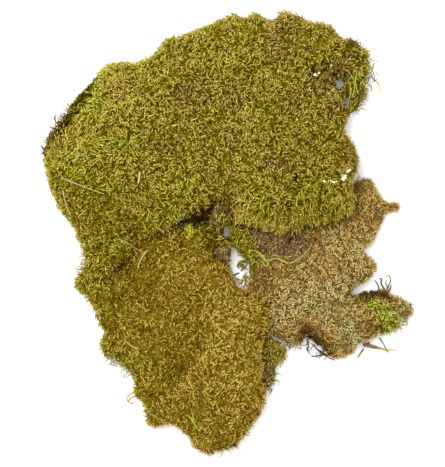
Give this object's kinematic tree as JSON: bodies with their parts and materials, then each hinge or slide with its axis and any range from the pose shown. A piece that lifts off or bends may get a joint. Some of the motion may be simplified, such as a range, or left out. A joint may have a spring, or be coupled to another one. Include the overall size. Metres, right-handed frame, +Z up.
{
  "type": "moss clump",
  "caption": "Torn clump of sheet moss: a thick green mat lying over a golden folded mat and a thin dry mat, with peat, twigs and straws.",
  "frame": {"origin": "bottom centre of the clump's box, on the surface it lies on", "axes": "+Z up, the mossy side; +Y towards the thick green mat's far edge, along the longest extent; +X towards the torn fingers of the dry mat"},
  "size_m": [0.2216, 0.2664, 0.0279],
  "materials": {
    "green_moss": "matt yellow-green moss shoots over dark olive",
    "golden_moss": "matt golden-olive short moss shoots",
    "dry_moss": "matt brown and grey dry moss",
    "scrap_moss": "matt dark green moss",
    "peat": "crumbly dark brown peat",
    "bark": "dry weathered bark",
    "straw": "dry pale straw, faint sheen",
    "pale_straw": "bleached straw",
    "runner": "pale yellow-green moss stem"
  },
  "bodies": {
    "root": {"upper_mat": "green_moss", "lower_mat": "golden_moss", "right_mat": "dry_moss", "side_scrap": "scrap_moss", "loose_sprig": "scrap_moss", "peat_clod_upper": "peat", "peat_clod_lower": "peat", "forked_twig": "bark", "thin_twig": "bark", "short_twig": "bark", "long_straw": "straw", "bent_straw": "straw", "white_straw": "pale_straw", "middle_straw": "straw", "brown_chip": "bark", "pale_runner": "runner"}
  },
  "joints": []
}
